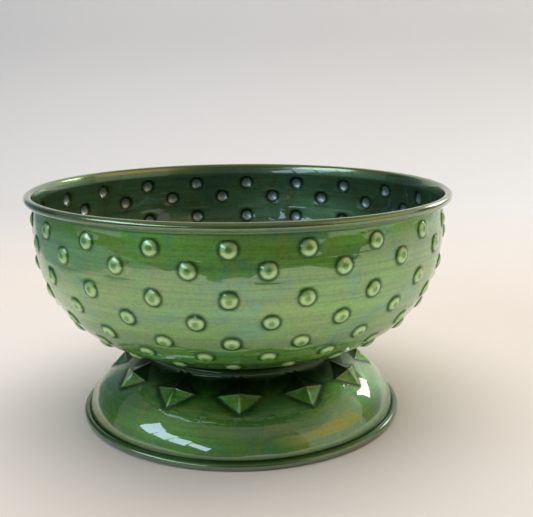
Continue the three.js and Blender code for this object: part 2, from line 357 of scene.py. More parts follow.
@dataclass(frozen=True)
class SheetCurve:
    """The outer face of a sheet in section: a cubic curve that runs downwards, by distance along it."""

    start: Place
    start_handle: Place
    end_handle: Place
    end: Place
    samples: int = 2000

    @cached_property
    def points(self) -> np.ndarray:
        """Points along the curve."""
        t = np.linspace(0, 1, self.samples)[:, None]
        corners = (self.start, self.start_handle, self.end_handle, self.end)
        weights = ((1 - t) ** 3, 3 * (1 - t) ** 2 * t, 3 * (1 - t) * t**2, t**3)
        return sum(weight * np.array(corner) for weight, corner in zip(weights, corners))

    @cached_property
    def walked(self) -> np.ndarray:
        """The distance to each point."""
        steps = np.linalg.norm(np.diff(self.points, axis=0), axis=1)
        return np.concatenate([[0], np.cumsum(steps)])

    @property
    def length(self) -> float:
        """The whole length."""
        return float(self.walked[-1])

    def at(self, distance: np.ndarray | float) -> np.ndarray:
        """The radius and height at a distance."""
        return np.stack([np.interp(distance, self.walked, self.points[:, i]) for i in (0, 1)], -1)

    def wrap(self, distance: np.ndarray, angle: np.ndarray, lift: np.ndarray) -> np.ndarray:
        """Places points on the sheet turned about the axis.

        Args:
            distance: how far down the curve each point lies.
            angle: how far round from the front.
            lift: how high above the face.

        Returns:
            The points.
        """
        step = self.length / self.samples
        along = self.at(distance + step) - self.at(distance - step)
        along /= np.linalg.norm(along, axis=-1, keepdims=True)
        radius, height = np.moveaxis(self.at(distance), -1, 0)
        radius = radius - along[..., 1] * lift
        height = height + along[..., 0] * lift
        return np.stack([radius * np.sin(angle), -radius * np.cos(angle), height], -1)


def deselect() -> None:
    """Leaves nothing selected."""
    bpy.ops.object.select_all(action="DESELECT")


@contextmanager
def editing(piece: bpy.types.Object) -> Iterator[None]:
    """Opens a piece in edit mode with all of it selected, and closes it afterwards."""
    deselect()
    piece.select_set(True)
    bpy.context.view_layer.objects.active = piece
    bpy.ops.object.mode_set(mode="EDIT")
    bpy.ops.mesh.select_mode(type="VERT")
    bpy.ops.mesh.select_all(action="SELECT")
    yield
    bpy.ops.object.mode_set(mode="OBJECT")


def pick(piece: bpy.types.Object, test: Callable[[Vector], bool]) -> None:
    """Selects the points that pass a test, with the edges and faces between them."""
    bpy.ops.mesh.select_all(action="DESELECT")
    mesh = bmesh.from_edit_mesh(piece.data)
    for point in mesh.verts:
        if test(point.co):
            point.select_set(True)
    mesh.select_flush(True)
    bmesh.update_edit_mesh(piece.data)


def pick_edges(piece: bpy.types.Object, test: Callable[[Vector], bool]) -> None:
    """Selects the edges whose run from end to end passes a test."""
    bpy.ops.mesh.select_all(action="DESELECT")
    bpy.ops.mesh.select_mode(type="EDGE")
    mesh = bmesh.from_edit_mesh(piece.data)
    for edge in mesh.edges:
        edge.select_set(test(edge.verts[1].co - edge.verts[0].co))
    bmesh.update_edit_mesh(piece.data)


def extrude(rise: float, scale: float | Colour = 1, centre: Colour = (0, 0, 0)) -> None:
    """Draws what is selected up by a rise, and scales it in plan about a centre."""
    bpy.ops.mesh.extrude_region_move(TRANSFORM_OT_translate={"value": (0, 0, rise)})
    bpy.ops.transform.resize(value=(scale, scale, 1), center_override=centre)


def apply(piece: bpy.types.Object, kind: str, **settings: object) -> None:
    """Adds a modifier to a piece and applies it.

    Args:
        piece: the piece.
        kind: the modifier's type.
        settings: the modifier's own properties.
    """
    deselect()
    piece.select_set(True)
    bpy.context.view_layer.objects.active = piece
    modifier = piece.modifiers.new(kind.lower(), kind)
    for name, value in settings.items():
        setattr(modifier, name, value)
    bpy.ops.object.modifier_apply(modifier=modifier.name)


def join(name: str, pieces: Sequence[bpy.types.Object]) -> bpy.types.Object:
    """Joins pieces into one mesh and merges the points that they share.

    Args:
        name: the name of the whole.
        pieces: what is joined.

    Returns:
        The joined piece.
    """
    deselect()
    for piece in pieces:
        piece.select_set(True)
    whole = pieces[0]
    bpy.context.view_layer.objects.active = whole
    if len(pieces) > 1:
        bpy.ops.object.join()
    whole.name = whole.data.name = name
    with editing(whole):
        bpy.ops.mesh.remove_doubles(threshold=MERGE)
        bpy.ops.mesh.normals_make_consistent(inside=False)
    return whole


def mark_studs(sheet: bpy.types.Object, places: np.ndarray) -> None:
    """Keeps each point's place on the nearest stud."""
    marks = sheet.data.attributes.new(STUD_PLACE, "FLOAT_VECTOR", "POINT")
    marks.data.foreach_set("vector", places.astype(np.float32).ravel())


def ring_sheet(path: Sequence[Place], columns: int) -> bpy.types.Object:
    """Draws a circle along a path of radii and heights, which makes an open sheet.

    Args:
        path: the radius and height of each ring.
        columns: how many faces there are round the axis.

    Returns:
        The sheet.
    """
    radius, height = path[0]
    deselect()
    bpy.ops.mesh.primitive_circle_add(vertices=columns, radius=radius, location=(0, 0, 0))
    sheet = bpy.context.active_object
    with editing(sheet):
        bpy.ops.transform.translate(value=(0, 0, height))
        for next_radius, next_height in path[1:]:
            extrude(next_height - height, next_radius / radius)
            radius, height = next_radius, next_height
    return sheet


def arc(centre: Place, radius: float, first: float, last: float, steps: int) -> list[Place]:
    """Points along an arc in a section.

    Args:
        centre: the arc's centre.
        radius: its radius.
        first: the angle where it starts, in degrees.
        last: the angle where it ends.
        steps: how many straight steps it has.

    Returns:
        The points.
    """
    angles = np.radians(np.linspace(first, last, steps + 1))
    return [(centre[0] + radius * math.cos(a), centre[1] + radius * math.sin(a)) for a in angles]


def dress(piece: bpy.types.Object, node: str, material: bpy.types.Material | None = None) -> None:
    """Puts a finished piece in the place of its node, and gives it a material if it has none.

    Args:
        piece: the piece.
        node: the node that it stands for.
        material: its material.
    """
    if material:
        piece.data.materials.append(material)
    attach(piece, BODY)
    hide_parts(node)
    piece.data.calc_loop_triangles()
    log.info("%s: %d triangles", piece.name, len(piece.data.loop_triangles))


def smooth(piece: bpy.types.Object, angle: float) -> None:
    """Shades a piece smooth, apart from edges sharper than an angle in degrees."""
    deselect()
    piece.select_set(True)
    bpy.context.view_layer.objects.active = piece
    bpy.ops.object.shade_smooth_by_angle(angle=math.radians(angle))


class Curl(Enum):
    """Which way a sheet goes as it curls outwards round its wire."""

    OVER = -1
    UNDER = 1


@dataclass(frozen=True)
class RolledEdge:
    """A sheet's edge, curled outwards round a wire."""

    outer_radius: float
    bead_height: float
    way: Curl
    sheet: float = 1 * MM
    wire: float = 1.3 * MM
    clearance: float = 0.3 * MM
    sweep: float = 325
    steps: int = 22

    @property
    def curl(self) -> float:
        """The radius of the face that curls round the wire."""
        return self.wire + self.clearance

    @property
    def centre(self) -> Place:
        """The middle of the wire in a section."""
        return self.outer_radius - self.curl - self.sheet, self.bead_height

    def path(self) -> list[Place]:
        """The rings of the curl, from where it leaves the wall."""
        return arc(self.centre, self.curl, 180, 180 + self.way.value * self.sweep, self.steps)

    def wire_ring(self, name: str) -> bpy.types.Object:
        """Bends the wire round to a butt joint at the back.

        Args:
            name: the wire's name.

        Returns:
            The wire.
        """
        radius, height = self.centre
        gap = 0.4 * MM / radius
        deselect()
        bpy.ops.mesh.primitive_circle_add(
            vertices=12, radius=self.wire, fill_type="NGON", rotation=(0, math.pi / 2, 0)
        )
        wire = bpy.context.active_object
        bpy.ops.object.transform_apply(location=False, rotation=True, scale=False)
        with editing(wire):
            bpy.ops.transform.translate(value=(gap / 2 * radius, radius, height))
            bpy.ops.mesh.spin(steps=160, angle=TURN - gap, center=(0, 0, 0), axis=(0, 0, 1))
        wire = join(name, [wire])
        smooth(wire, 50)
        return wire


@dataclass
class PressedSheet:
    """A sheet with studs pressed out of rows of cells, and what both shells share."""

    curve: SheetCurve
    edge: RolledEdge
    sheet: float
    hole: float

    def cell(self, width: float, top: float, bottom: float, across: int, along: int) -> bpy.types.Object:
        """Lays the edge of one cell flat, cut into short lengths.

        Args:
            width: the cell's width.
            top: where it starts down the curve.
            bottom: where it ends.
            across: how many lengths its upper and lower sides have.
            along: how many its other sides have.

        Returns:
            The edge of the cell, with no face.
        """
        deselect()
        bpy.ops.mesh.primitive_plane_add(size=1, location=(0, 0, 0))
        cell = bpy.context.active_object
        with editing(cell):
            bpy.ops.transform.resize(value=(width, bottom - top, 1), center_override=(0, 0, 0))
            bpy.ops.transform.translate(value=(0, (top + bottom) / 2, 0))
            bpy.ops.mesh.delete(type="ONLY_FACE")
            pick_edges(cell, lambda run: abs(run.x) > abs(run.y))
            bpy.ops.mesh.subdivide(number_cuts=across - 1)
            pick_edges(cell, lambda run: abs(run.y) > abs(run.x))
            bpy.ops.mesh.subdivide(number_cuts=along - 1)
        return cell

    def raise_stud(
        self, cell: bpy.types.Object, middle: Vector, outline: Callable[[Vector], bool],
        rings: Sequence[Place], tip: float, cuts: int,
    ) -> None:
        """Joins a stud's outline to the edge of its cell, and draws it up ring by ring to a tip.

        Args:
            cell: the cell, in edit mode, with the outline in it.
            middle: where the stud's middle is.
            outline: which points are on the outline.
            rings: the size of each ring, as a share of the outline, and its height.
            tip: the height of the tip.
            cuts: how many rings of points lie between the outline and the cell's edge.
        """
        bpy.ops.mesh.select_all(action="SELECT")
        bpy.ops.mesh.bridge_edge_loops(number_cuts=cuts, interpolation="LINEAR")
        bpy.ops.mesh.select_mode(type="VERT")
        pick(cell, outline)
        size, height = 1.0, 0.0
        for ring_size, ring_height in rings:
            extrude(ring_height - height, ring_size / size, middle)
            size, height = ring_size, ring_height
        extrude(tip - height)
        bpy.ops.mesh.merge(type="CENTER")

    def wrap_cell(
        self, cell: bpy.types.Object, radius: float, turn: float, middle: Vector, half: Place,
        hollow: float = 0, crease: float = 0, sink: float = 0,
    ) -> None:
        """Bends a flat cell onto the sheet, and keeps each point's place on the stud.

        Args:
            cell: the cell.
            radius: the sheet's radius at the middle of the cell.
            turn: how far round from the front the cell is.
            middle: where the stud's middle is.
            half: half the stud's width and length.
            hollow: how much the stud's faces are hollowed between its ridges, up to 1.
            crease: how deep the crease along the foot of each face is.
            sink: how deep the hollow round a round stud is.
        """
        flat = np.empty(len(cell.data.vertices) * 3)
        cell.data.vertices.foreach_get("co", flat)
        flat = flat.reshape(-1, 3)
        places = np.abs(flat - np.array(middle)) / np.array([*half, 1])
        places[:, 2] = 0
        mark_studs(cell, places)
        across, along = places[:, 0], places[:, 1]
        spread = np.maximum(across + along, 1e-6)
        aside = 4 * across * along / spread**2
        fade = np.clip(np.minimum((spread - 0.6) / 0.4, (1.4 - spread) / 0.4), 0, 1)
        lift = flat[:, 2] * (1 - hollow * aside * np.minimum(spread, 1)) - crease * aside * fade
        plan = flat[:, :2]
        to_edge = np.minimum(plan - plan.min(0), plan.max(0) - plan).min(1)
        round_it = np.sin(math.pi * np.clip(np.hypot(across, along) - 0.95, 0, 1)) ** 2
        lift -= sink * round_it * np.clip(to_edge / (2.5 * MM), 0, 1)
        bent = self.curve.wrap(flat[:, 1], flat[:, 0] / radius + turn, lift)
        cell.data.vertices.foreach_set("co", bent.ravel())
        cell.data.update()

    def repeat(self, cell: bpy.types.Object, count: int) -> None:
        """Turns copies of a cell round the axis."""
        with editing(cell):
            share = (count - 1) / count
            bpy.ops.mesh.spin(steps=count - 1, dupli=True, angle=TURN * share, center=(0, 0, 0), axis=(0, 0, 1))

    def plain_ring(self, path: Sequence[Place], columns: int) -> bpy.types.Object:
        """Draws a part of the sheet that has no studs."""
        ring = ring_sheet(path, columns)
        mark_studs(ring, np.full((len(ring.data.vertices), 3), FAR))
        return ring

    def ripple(self, shell: bpy.types.Object, middle: float, reach: float, waves: Sequence[Place]) -> None:
        """Makes the sheet a little uneven, as fired enamel is, away from its edges.

        Args:
            shell: the open sheet.
            middle: the height of the most uneven part.
            reach: how far above and below it the sheet is uneven.
            waves: the width and depth of each kind of wave.
        """
        group = shell.vertex_groups.new(name="uneven")
        for point in shell.data.vertices:
            near = max(0.0, 1 - abs(point.co.z - middle) / reach)
            group.add([point.index], min(1.0, 3 * near), "REPLACE")
        for scale, depth in waves:
            clouds = bpy.data.textures.new("ripples", "CLOUDS")
            clouds.noise_scale = scale
            clouds.noise_depth = 1
            apply(shell, "DISPLACE", texture=clouds, texture_coords="LOCAL", strength=depth,
                  mid_level=0.5, vertex_group="uneven")
        shell.vertex_groups.clear()

    def thicken(self, shell: bpy.types.Object, *enamels: bpy.types.Material) -> None:
        """Gives the open sheet its thickness behind its outer face.

        Args:
            shell: the open sheet.
            enamels: the enamel of its outer face and of the face behind it.
        """
        for enamel in enamels:
            shell.data.materials.append(enamel)
        middle = sum(self.curve.at(self.curve.length / 2) * (0, 1))
        level = [face for face in shell.data.polygons if abs(face.center.z - middle) < 4 * MM]
        if max(level, key=lambda face: face.center.y).normal.y < 0:
            with editing(shell):
                bpy.ops.mesh.flip_normals()
        apply(shell, "SOLIDIFY", thickness=self.sheet, offset=-1, use_rim=True, material_offset=1)


@dataclass
class HobnailBowl(PressedSheet):
    """The bowl: hobnails in staggered rows on its wall, a rolled rim and a flat floor with a hole."""

    rows: tuple[float, ...]
    creases: tuple[float, ...]
    columns: int
    radius: float
    height: float
    seal_seat: float

    ACROSS = 8
    ALONG = 4
    SKIRT = 1.03  # the foot of a hobnail's rounding, as a share of its radius
    SINK = 0.4 * MM
    DOME = ((0.985, 0.03), (0.94, 0.13), (0.86, 0.3), (0.74, 0.51), (0.56, 0.73), (0.34, 0.91), (0.15, 0.98))
    # how far each row strays round the bowl, in degrees, and down its wall
    DRIFT = ((-0.7, -0.1), (-0.9, -0.2), (-0.7, 0.9), (0.1, 0), (-0.5, 0.4), (0.5, -0.7), (-0.8, -0.7))

    def hobnail(self, row: int) -> bpy.types.Object:
        """Models one hobnail in its cell and bends it onto the wall.

        Args:
            row: the number of its row, from the rim.

        Returns:
            The cell.
        """
        wall_radius = float(self.curve.at(self.rows[row])[0])
        width = TURN / self.columns * wall_radius
        aside, down = self.DRIFT[row]
        middle = Vector((math.radians(aside) * wall_radius, self.rows[row] + down * MM, 0))
        skirt = self.SKIRT * self.radius
        rings = [(size / self.SKIRT, self.height * lift) for size, lift in self.DOME]
        cell = self.cell(width, self.creases[row], self.creases[row + 1], self.ACROSS, self.ALONG)
        with editing(cell):
            points = 2 * (self.ACROSS + self.ALONG)
            bpy.ops.mesh.primitive_circle_add(vertices=points, radius=skirt, location=middle)
            self.raise_stud(
                cell, middle, lambda co: (co - middle).length < skirt * 1.01, rings, self.height, 2
            )
        turn = 0 if row % 2 == 0 else TURN / self.columns / 2
        self.wrap_cell(cell, wall_radius, turn, middle, (self.radius, self.radius), sink=self.SINK)
        return cell

    def lip_path(self) -> list[Place]:
        """The rings from the first crease up over the rolled rim."""
        wall = [tuple(self.curve.at(d)) for d in np.linspace(self.creases[0], 0, 3)]
        return wall + self.edge.path()

    def floor_path(self) -> list[Place]:
        """The rings from the last crease in to the hole."""
        wall = [tuple(self.curve.at(d)) for d in np.linspace(self.creases[-1], self.curve.length, 11)]
        seat = self.curve.end[1]
        floor = [(radius, seat) for radius in np.linspace(wall[-1][0], self.seal_seat, 6)[1:]]
        return wall + floor + [(self.hole, seat)]

    def build(self, *enamels: bpy.types.Material) -> bpy.types.Object:
        """Models the bowl.

        Args:
            enamels: the enamel of its outside and of its inside.

        Returns:
            The finished shell.
        """
        cells = []
        for row in range(len(self.rows)):
            cells.append(self.hobnail(row))
            self.repeat(cells[-1], self.columns)
        around = self.ACROSS * self.columns
        lip = self.plain_ring(self.lip_path(), around)
        floor = self.plain_ring(self.floor_path(), around)
        shell = join("bowl_shell.enamel", [*cells, lip, floor])
        self.ripple(shell, 98 * MM, 44 * MM, ((24 * MM, 1 * MM), (10 * MM, 0.5 * MM)))
        self.thicken(shell, *enamels)
        smooth(shell, 80)
        return shell


@dataclass
class DiamondFoot(PressedSheet):
    """The foot: diamonds on its shoulder, a collar under the bowl and a rolled edge on the table."""

    count: int
    band: float
    width: float
    length: float
    height: float
    collar: float
    rounding: float
    top: float

    ACROSS = 12
    ALONG = 4
    SKIRT = 1.05
    TURN_ASIDE = math.radians(0.9)
    HOLLOW = 0.75
    CREASE = 0.4 * MM

    def diamond(self) -> bpy.types.Object:
        """Models one diamond in its cell and bends it onto the shoulder.

        Returns:
            The cell.
        """
        radius = float(self.curve.at(self.band / 2)[0])
        middle = Vector((self.TURN_ASIDE * radius, self.band / 2, 0))
        rings = [(1 / self.SKIRT, 0.02 * self.height)]
        rings += [(size / self.SKIRT, self.height * (1 - size)) for size in (0.95, 0.8, 0.62, 0.44, 0.26, 0.1)]
        cell = self.cell(TURN / self.count * radius, 0, self.band, self.ACROSS, self.ALONG)
        half = self.width / 2, self.length / 2
        with editing(cell):
            bpy.ops.mesh.primitive_circle_add(vertices=4, radius=1, fill_type="NGON", location=(0, 0, 0))
            bpy.ops.transform.resize(
                value=(half[0] * self.SKIRT, half[1] * self.SKIRT, 1), center_override=(0, 0, 0)
            )
            bpy.ops.transform.translate(value=middle)
            bpy.ops.mesh.bevel(affect="VERTICES", offset=0.7 * MM, segments=2)
            bpy.ops.mesh.delete(type="ONLY_FACE")
            sides = 0.3 * self.length
            pick_edges(cell, lambda run: run.length > sides and min(abs(run.x), abs(run.y)) > 1 * MM)
            bpy.ops.mesh.subdivide(number_cuts=5)
            on_diamond = lambda co: (
                abs(co.x - middle.x) / half[0] + abs(co.y - middle.y) / half[1] < self.SKIRT * 1.01
            )
            self.raise_stud(cell, middle, on_diamond, rings, self.height, 2)
        self.wrap_cell(cell, radius, 0, middle, half, self.HOLLOW, self.CREASE)
        return cell

    def collar_path(self) -> list[Place]:
        """The rings from the top of the shoulder over the collar and in to the hole."""
        start = tuple(self.curve.at(0.0))
        crown = arc((self.collar - self.rounding, self.top - self.rounding), self.rounding, 0, 90, 6)
        flat = [(radius, self.top) for radius in np.linspace(crown[-1][0], self.hole, 7)[1:]]
        return [start, *crown, *flat]

    def skirt_path(self) -> list[Place]:
        """The rings from below the diamonds down to the rolled edge."""
        shoulder = [tuple(self.curve.at(d)) for d in np.linspace(self.band, self.curve.length, 12)]
        return shoulder + self.edge.path()

    def build(self, *enamels: bpy.types.Material) -> bpy.types.Object:
        """Models the foot.

        Args:
            enamels: the enamel of its outside and of its inside.

        Returns:
            The finished shell.
        """
        cell = self.diamond()
        self.repeat(cell, self.count)
        around = self.ACROSS * self.count
        collar = self.plain_ring(self.collar_path(), around)
        skirt = self.plain_ring(self.skirt_path(), around)
        shell = join("foot_shell.enamel", [cell, collar, skirt])
        self.ripple(shell, 21 * MM, 13 * MM, ((24 * MM, 0.8 * MM), (10 * MM, 0.15 * MM)))
        self.thicken(shell, *enamels)
        smooth(shell, 80)
        return shell


def cap(piece: bpy.types.Object, height: float) -> None:
    """Closes the open end of a piece at a height."""
    with editing(piece):
        pick(piece, lambda co: abs(co.z - height) < MERGE)
        bpy.ops.mesh.edge_face_add()
        bpy.ops.mesh.select_all(action="SELECT")
        bpy.ops.mesh.normals_make_consistent(inside=False)


def turned(path: Sequence[Place], columns: int) -> bpy.types.Object:
    """Turns a solid from a path of radii and heights, with flat ends."""
    solid = ring_sheet(path, columns)
    for end in (path[0], path[-1]):
        cap(solid, end[1])
    return solid


def cut(piece: bpy.types.Object, tool: bpy.types.Object, operation: str) -> None:
    """Cuts a piece with another, which is then thrown away."""
    apply(piece, "BOOLEAN", object=tool, operation=operation, solver="EXACT")
    bpy.data.objects.remove(tool)


@dataclass(frozen=True)
class FlatRing:
    """A washer or gasket: a flat ring with broken or rounded edges."""

    inner: float
    outer: float
    bottom: float
    top: float
    rounding: float
    columns: int = 96

    def build(self, name: str) -> bpy.types.Object:
        """Models the ring.

        Args:
            name: the ring's name.

        Returns:
            The ring.
        """
        path = [(self.inner, self.bottom), (self.outer, self.bottom), (self.outer, self.top), (self.inner, self.top)]
        ring = ring_sheet([*path, path[0]], self.columns)
        ring = join(name, [ring])
        apply(ring, "BEVEL", width=self.rounding, segments=3, limit_method="ANGLE", angle_limit=math.radians(60))
        smooth(ring, 40)
        return ring


@dataclass(frozen=True)
class SplitRing:
    """A spring washer: a square wire bent to a ring, with a slanting split."""

    inner: float
    outer: float
    bottom: float
    top: float
    split: float
    slant: float = 0.35 * MM

    def build(self, name: str) -> bpy.types.Object:
        """Models the washer.

        Args:
            name: the washer's name.

        Returns:
            The washer.
        """
        deselect()
        bpy.ops.mesh.primitive_plane_add(size=1, location=(0, 0, 0), rotation=(math.pi / 2, 0, 0))
        ring = bpy.context.active_object
        bpy.ops.object.transform_apply(location=False, rotation=True, scale=False)
        with editing(ring):
            size = (self.outer - self.inner, 1, self.top - self.bottom)
            bpy.ops.transform.resize(value=size, center_override=(0, 0, 0))
            middle = ((self.outer + self.inner) / 2, 0, (self.top + self.bottom) / 2)
            bpy.ops.transform.translate(value=middle)
            bpy.ops.mesh.spin(steps=1, angle=self.split / 2, center=(0, 0, 0), axis=(0, 0, 1), dupli=True)
            pick(ring, lambda co: abs(co.y) < MERGE)
            bpy.ops.mesh.delete(type="VERT")
            bpy.ops.mesh.select_all(action="SELECT")
            bpy.ops.mesh.spin(steps=64, angle=TURN - self.split, center=(0, 0, 0), axis=(0, 0, 1))
            near = self.split * self.outer
            pick(ring, lambda co: co.x > 0 and abs(co.y) < near / 2 + MERGE and co.z > middle[2])
            bpy.ops.transform.translate(value=(0, self.slant, 0))
        ring = join(name, [ring])
        apply(ring, "BEVEL", width=0.18 * MM, segments=2, limit_method="ANGLE", angle_limit=math.radians(60))
        smooth(ring, 40)
        return ring


@dataclass(frozen=True)
class HexNut:
    """A hexagon nut with chamfered corners and a countersunk hole."""

    across: float
    bottom: float
    top: float
    hole: float
    chamfer: float = 0.55 * MM

    def build(self, name: str) -> bpy.types.Object:
        """Models the nut.

        Args:
            name: the nut's name.

        Returns:
            The nut.
        """
        corner = self.across / 2 / math.cos(math.pi / 6)
        deselect()
        bpy.ops.mesh.primitive_circle_add(
            vertices=6, radius=corner, fill_type="NGON", location=(0, 0, 0), rotation=(0, 0, math.pi / 2)
        )
        nut = bpy.context.active_object
        bpy.ops.object.transform_apply(location=False, rotation=True, scale=False)
        with editing(nut):
            bpy.ops.transform.translate(value=(0, 0, self.bottom))
            bpy.ops.mesh.extrude_region_move(TRANSFORM_OT_translate={"value": (0, 0, self.top - self.bottom)})
        nut = join(name, [nut])
        wide, flat = corner + MM, self.across / 2 * 0.95
        beyond = 0.2 * MM
        slope = math.tan(math.radians(30))
        reach = (wide - flat) * slope
        narrow, sink = flat - beyond / slope, self.hole + self.chamfer + beyond
        blank = [
            (sink, self.bottom - beyond), (narrow, self.bottom - beyond), (wide, self.bottom + reach),
            (wide, self.top - reach), (narrow, self.top + beyond), (sink, self.top + beyond),
            (self.hole, self.top - self.chamfer), (self.hole, self.bottom + self.chamfer),
        ]
        cut(nut, join("blank", [ring_sheet([*blank, blank[0]], 90)]), "INTERSECT")
        nut = join(name, [nut])
        smooth(nut, 25)
        return nut


@dataclass(frozen=True)
class SlottedScrew:
    """A round-headed screw with a slot and a cut thread at its tail."""

    radius: float
    head: float
    head_bottom: float
    top: float
    tail: float
    thread_top: float
    pitch: float = 1 * MM
    depth: float = 0.42 * MM
    slot: Place = (1.4 * MM, 1.5 * MM)

    def thread(self) -> bpy.types.Object:
        """Winds the thread from a profile of one pitch.

        Returns:
            The thread, cut off square at both ends.
        """
        root = self.radius - self.depth - 0.03 * MM
        deselect()
        bpy.ops.mesh.primitive_plane_add(size=1 * MM, location=(0, 0, 0))
        thread = bpy.context.active_object
        with editing(thread):
            bpy.ops.mesh.merge(type="CENTER")
            bpy.ops.transform.translate(value=(root, 0, self.tail - self.pitch))
            for out, up in ((self.depth, 0.4), (0, 0.14), (-self.depth, 0.4), (0, 0.06)):
                bpy.ops.mesh.extrude_region_move(TRANSFORM_OT_translate={"value": (out, 0, up * self.pitch)})
        turns = math.ceil((self.thread_top - self.tail) / self.pitch) + 2
        apply(
            thread, "SCREW", angle=TURN, screw_offset=self.pitch, iterations=turns, steps=28, render_steps=28,
            axis="Z", use_merge_vertices=True, merge_threshold=MERGE,
        )
        with editing(thread):
            bpy.ops.mesh.remove_doubles(threshold=MERGE)
            for height, way in ((self.tail + 0.35 * MM, -1), (self.thread_top - 0.12 * MM, 1)):
                bpy.ops.mesh.select_all(action="SELECT")
                bpy.ops.mesh.bisect(plane_co=(0, 0, height), plane_no=(0, 0, way), clear_outer=True)
            bpy.ops.mesh.select_all(action="SELECT")
            bpy.ops.mesh.fill_holes(sides=0)
        return thread

    def build(self, name: str) -> bpy.types.Object:
        """Models the screw.

        Args:
            name: the screw's name.

        Returns:
            The screw.
        """
        core = self.radius - self.depth
        rise = self.top - self.head_bottom
        edge = 0.8 * MM
        dome = [
            (self.head * math.cos(a), self.head_bottom + edge + (rise - edge) * math.sin(a))
            for a in np.radians((0, 12, 24, 37, 50, 63, 76, 86))
        ]
        path = [
            (core - 0.5 * MM, self.tail), (core, self.tail + 0.5 * MM), (core, self.thread_top),
            (self.radius, self.thread_top + 0.3 * MM), (self.radius, self.head_bottom),
            (self.head - 0.25 * MM, self.head_bottom), (self.head, self.head_bottom + 0.25 * MM), *dome,
        ]
        screw = turned(path, 48)
        width, deep = self.slot
        deselect()
        bpy.ops.mesh.primitive_cube_add(size=1, location=(0, 0, 0))
        blade = bpy.context.active_object
        with editing(blade):
            bpy.ops.transform.resize(value=(3 * self.head, width, 2 * deep), center_override=(0, 0, 0))
            bpy.ops.transform.translate(value=(0, 0, self.top))
        cut(screw, blade, "DIFFERENCE")
        screw = join(name, [screw, self.thread()])
        smooth(screw, 32)
        return screw


@dataclass(frozen=True)
class Lamp:
    """A soft lamp at a bearing from the bowl's front, which faces the bowl or another place."""

    name: str
    bearing: float
    climb: float
    size: Place
    radiance: float
    colour: Colour
    distance: float = 1.6
    aim: Colour = (0, 0, 0.06)
    seen: bool = True
    roll: float = 0

    def hang(self) -> None:
        """Hangs the lamp."""
        data = bpy.data.lights.new(self.name, "AREA")
        data.shape = "RECTANGLE"
        data.size, data.size_y = self.size
        data.energy = math.pi * self.radiance * self.size[0] * self.size[1]
        data.color = self.colour
        lamp = bpy.data.objects.new(self.name, data)
        bpy.context.scene.collection.objects.link(lamp)
        bearing, climb = math.radians(self.bearing), math.radians(self.climb)
        away = Vector((math.sin(bearing) * math.cos(climb), -math.cos(bearing) * math.cos(climb), math.sin(climb)))
        lamp.location = self.distance * away
        facing = (Vector(self.aim) - lamp.location).to_track_quat("-Z", "Y")
        lamp.rotation_euler = (facing @ Quaternion((0, 0, 1), math.radians(self.roll))).to_euler()
        lamp.visible_glossy = self.seen
        lamp.visible_camera = False


